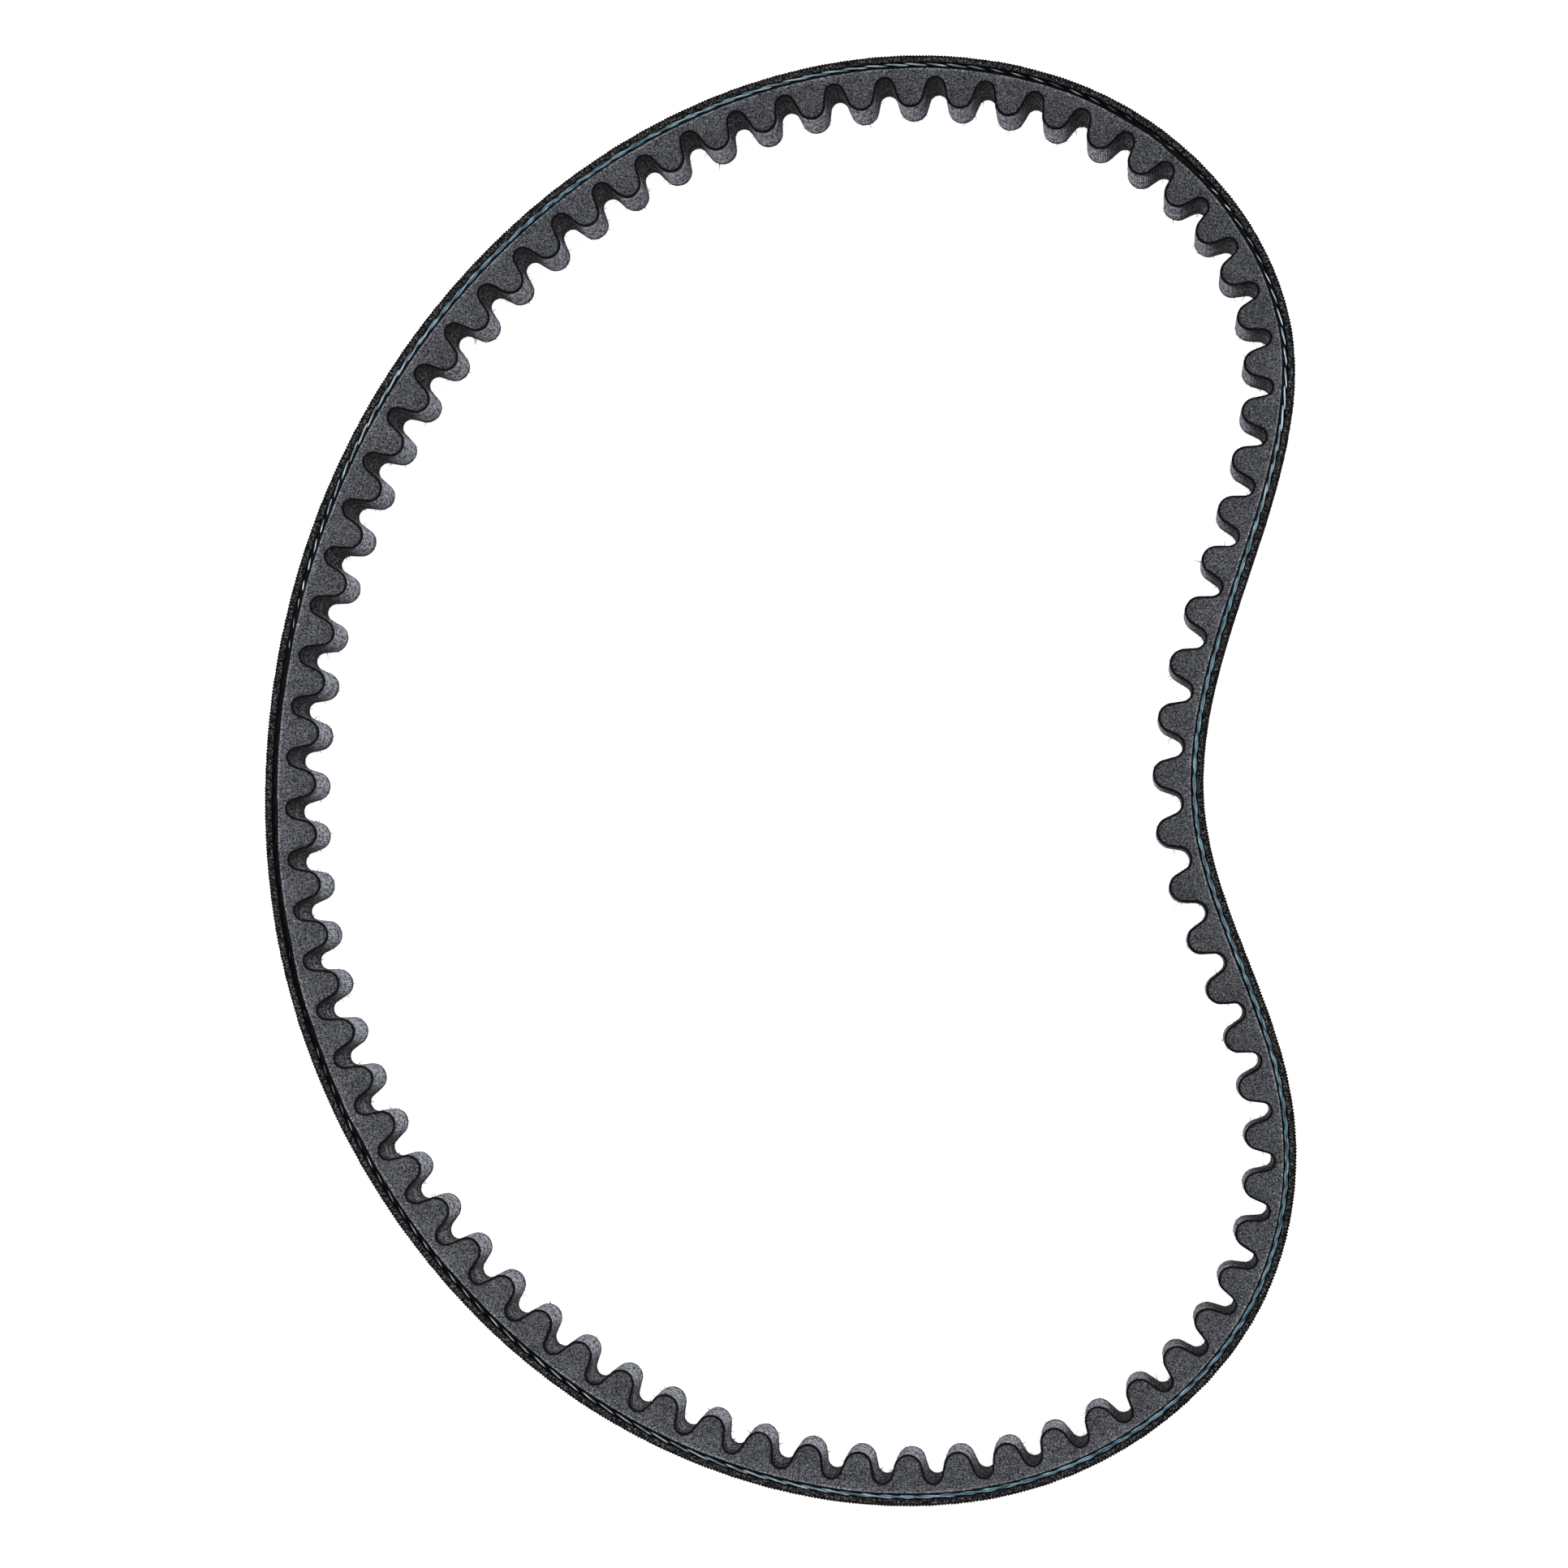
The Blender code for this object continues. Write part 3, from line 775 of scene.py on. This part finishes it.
BODY_ROWS = (0, 0.12, 0.25, 0.38, 0.5, 0.62, 0.73, 0.83, 0.91, 0.96, 0.985, 1.0)
BODY_STEPS = (9, 6, 7)
BODY_ROUGHNESS = 0.025 * MM
EDGE_FALL = 0.06 * MM
EDGE_REACH = 0.12 * MM


def compression_rubber():
    """The cogged body, up to the inner side of the fabric."""
    share, side = section(BODY_ROWS, (1, 1))
    outline, tips = cog_outline(FABRIC_THICKNESS, *BODY_STEPS)
    base = steps_round(len(outline) // LOOP.count)
    stations = base[:, None] + share * (outline - base)[:, None]
    depths = BODY_DEPTH + share * (tips[:, None] - BODY_DEPTH)
    to_fabric = fabric_distance(stations, depths, outline, tips)
    fall = EDGE_FALL * np.exp(-to_fabric / EDGE_REACH)
    loop_share = stations / LOOP.count
    wave = ripple(60, loop_share, 330, upper_share(side), 1)
    wave = wave + 0.6 * ripple(61, loop_share, 900, depths / TIP_DEPTH, 8)
    levels = side * (LOOP.half_height(depths) - fall - BODY_ROUGHNESS * (1.6 + wave) * (share > 0))
    piece = ring("compression_rubber_cogs", stations, depths, levels)
    add_attribute(piece, "to_fabric", to_fabric.ravel() / MM)
    finish_piece(piece, FLANK, "compression_rubber")


RIB_POINTS = (-1, 0, 1, 0)
FABRIC_RIB_HEIGHT = 0.028 * MM
FABRIC_NUBS = 0.02 * MM
FABRIC_SWELL = 0.05 * MM
FABRIC_WEAR = 0.02 * MM
FABRIC_ROUNDING = 0.04 * MM
THREAD = 0.455 * MM
FABRIC_STEPS = (30, 18, 20)


def tooth_fabric():
    """The woven facing: its threads stand out as fine ribs across the belt, and its cut edges are black."""
    outer_station, outer_depth = cog_outline(0.0, *FABRIC_STEPS)
    inner_station, inner_depth = cog_outline(FABRIC_THICKNESS, *FABRIC_STEPS)
    share, side = section((0, 1), (6, 1))
    loop_share = outer_station[:, None] / LOOP.count
    flank = upper_share(side)
    lift = np.tile(RIB_POINTS, len(outer_station) // len(RIB_POINTS))[:, None] * FABRIC_RIB_HEIGHT
    lift = lift * (1 + 0.5 * ripple(70, loop_share, 1700, flank, 6))
    lift = lift + FABRIC_NUBS * ripple(71, loop_share, 2600, flank, 6)
    lift = lift + FABRIC_SWELL * ripple(72, loop_share, 400, flank, 5)
    reach = share * (1 + lift / FABRIC_THICKNESS)
    stations = inner_station[:, None] + reach * (outer_station - inner_station)[:, None]
    depths = inner_depth[:, None] + reach * (outer_depth - inner_depth)[:, None]
    fall = FABRIC_WEAR * (1 + ripple(73, loop_share, 2600, flank, 1)) + FABRIC_ROUNDING * share
    levels = side * (LOOP.half_height(depths) - fall * at_flank(side))
    run = np.arange(len(outer_station)) * THREAD / len(RIB_POINTS)
    piece = ring("tooth_fabric_weave", stations, depths, levels, run)
    finish_piece(piece, WEAVE, "tooth_fabric", sharp=50)


def whiskers(name, roots, heading, length, thickness, seed):
    """Short curled fibres, each a thin tapered tube."""
    rng = np.random.default_rng(SEED + seed)
    rings, sides = 5, 3
    count = len(roots)
    along = np.linspace(0, 1, rings)[None, :, None]
    curl = rng.normal(0, 0.45, (count, 1, 3)) * length[:, None, None]
    centre = roots[:, None] + heading[:, None] * length[:, None, None] * along + curl * along**2
    centre[..., 2] = np.maximum(centre[..., 2], thickness[:, None])
    start = np.cross(heading, rng.normal(0, 1, (count, 3)))
    start /= np.linalg.norm(start, axis=1)[:, None]
    other = np.cross(heading, start)
    angle = 2 * math.pi * np.arange(sides) / sides
    around = start[:, None] * np.cos(angle)[None, :, None] + other[:, None] * np.sin(angle)[None, :, None]
    radius = thickness[:, None, None] / 2 * (1 - 0.8 * along)
    points = centre[:, :, None] + around[:, None] * radius[..., None]
    h, j, k = np.meshgrid(np.arange(count), np.arange(rings - 1), np.arange(sides), indexing="ij")
    corners = [(j, k), (j, k + 1), (j + 1, k + 1), (j + 1, k)]
    quads = np.stack([(h * rings + a) * sides + b % sides for a, b in corners], axis=-1).reshape(-1, 4)
    base = np.arange(count) * rings * sides
    top = base + (rings - 1) * sides
    caps = [(b + 2, b + 1, b) for b in base] + [(t, t + 1, t + 2) for t in top]
    return add_mesh(name, points.reshape(-1, 3), quads, caps)


FRAYS = 1300
FRAYS_BELOW = 0.75
FRAY_ROOT = 0.05 * MM


def fabric_fray():
    """Loose thread ends along both cut edges of the fabric."""
    rng = np.random.default_rng(SEED + 80)
    station, depth = cog_outline(0.0, *FABRIC_STEPS)
    inside, inside_depth = cog_outline(FABRIC_THICKNESS, *FABRIC_STEPS)
    pick = rng.integers(0, len(station), FRAYS)
    side = rng.choice((-1, 1), FRAYS, p=(FRAYS_BELOW, 1 - FRAYS_BELOW))
    plan = LOOP.at(station[pick], depth[pick])
    normal = plan - LOOP.at(inside[pick], inside_depth[pick])
    normal /= np.linalg.norm(normal, axis=1)[:, None]
    level = side * (LOOP.half_height(depth[pick]) - rng.uniform(0.03, 0.35, FRAYS) * MM)
    roots = np.column_stack([plan - normal * FRAY_ROOT, LOOP.middle + level])
    heading = np.column_stack([normal, side * rng.uniform(-0.2, 0.5, FRAYS)])
    heading = heading + rng.normal(0, 0.35, (FRAYS, 3))
    heading /= np.linalg.norm(heading, axis=1)[:, None]
    length = rng.gamma(2.4, 0.17, FRAYS).clip(0.15, 1.2) * MM
    thickness = rng.uniform(0.07, 0.22, FRAYS) * MM
    piece = whiskers("tooth_fabric_fray", roots, heading, length, thickness, 81)
    finish_piece(piece, FRAY, "tooth_fabric", sharp=180)


def loose_fibre(name):
    """Dark thread ends."""
    f = Finish(name, Specular_IOR_Level=0.3)
    f.colour(f.mix(f.noise(f.spot, 2.0, 2.0, 0.5), (0.010, 0.010, 0.012), (0.10, 0.10, 0.11)))
    f.roughness(f.fit(f.noise(f.spot, 6.0, 1.0, 0.5), 0.3, 0.7, 0.9, 0.6))
    return f.material


BACK_CLOTH = 0.57 * MM

BAND = band_rubber("rough_back_rubber", dark=(0.002, 0.002, 0.002), pale=(0.026, 0.0255, 0.027),
                   rust=(0.050, 0.026, 0.025), thread=BACK_CLOTH)
FLANK = filled_rubber("fibre_filled_rubber", dark=(0.0055, 0.006, 0.0075), pale=(0.0855, 0.0875, 0.095),
                      at_tips=0.8, edged=True)
# The lower cushion's rubber: paler, partly from wear and partly as a painted highlight along the groove
PALE_WORN_HIGHLIT_FLANK = filled_rubber("pale_worn_rubber_painted_highlight", dark=(0.013, 0.014, 0.016), pale=(0.140, 0.142, 0.150))
CORD = aramid("blue_aramid")
WEAVE = facing_fabric("woven_facing", THREAD)
FRAY = loose_fibre("frayed_thread")

back_cover()
tension_band()
cushion("upper_cushion_layer", "upper_cushion", TENSION_DEPTH, upper_edge, 22, BAND)
for number in range(STRANDS):
    strand(number)
cushion("lower_cushion_layer", "lower_cushion", BODY_DEPTH, lower_edge, 42, PALE_WORN_HIGHLIT_FLANK)
compression_rubber()
tooth_fabric()
fabric_fray()

# ---- stage, light and camera ----

FLOOR_SIZE = 6.0
CAMERA_OFFSET = Vector((0.06445, -0.03351, 0.92117))
CAMERA_TILT = (math.radians(2.0515), math.radians(4.0021), math.radians(0.0717))
LENS = 114.2


def add_floor():
    """A plain white floor under the belt."""
    half = FLOOR_SIZE / 2
    corners = np.array([(-half, -half, 0), (half, -half, 0), (half, half, 0), (-half, half, 0)])
    floor = add_mesh("floor", corners, np.array([[0, 1, 2, 3]]))
    material = bpy.data.materials.new("white_paper")
    material.use_nodes = True
    shader = material.node_tree.nodes["Principled BSDF"]
    shader.inputs["Base Color"].default_value = (0.2, 0.2, 0.2, 1)
    shader.inputs["Roughness"].default_value = 1
    shader.inputs["Emission Color"].default_value = (1, 1, 1, 1)
    shader.inputs["Emission Strength"].default_value = 0.97
    floor.data.materials.append(material)


def add_soft_light(name, place, size, power):
    """A large square lamp that faces the belt."""
    lamp = bpy.data.lights.new(name, "AREA")
    lamp.shape = "SQUARE"
    lamp.size = size
    lamp.energy = power
    light = bpy.data.objects.new(name, lamp)
    light.location = place
    light.rotation_euler = (-Vector(place)).to_track_quat("-Z", "Y").to_euler()
    bpy.context.scene.collection.objects.link(light)


def add_world(strength):
    """An even white sky."""
    world = bpy.data.worlds.new("white_room")
    world.use_nodes = True
    background = world.node_tree.nodes["Background"]
    background.inputs["Color"].default_value = (1, 1, 1, 1)
    background.inputs["Strength"].default_value = strength
    bpy.context.scene.world = world


def add_camera():
    """It looks down on the belt from a little to the right of its middle and below it."""
    camera = bpy.data.objects.new("camera", bpy.data.cameras.new("camera"))
    camera.data.lens = LENS
    camera.location = CAMERA_OFFSET
    camera.rotation_euler = CAMERA_TILT
    bpy.context.scene.collection.objects.link(camera)
    bpy.context.scene.camera = camera


add_floor()
add_world(strength=0.25)
add_soft_light("key_light", place=(0.85, 0.80, 1.0), size=0.6, power=34)
add_soft_light("fill_light", place=(-0.30, -0.17, 0.22), size=0.3, power=1.9)
add_camera()
bpy.context.scene.view_settings.view_transform = "Standard"
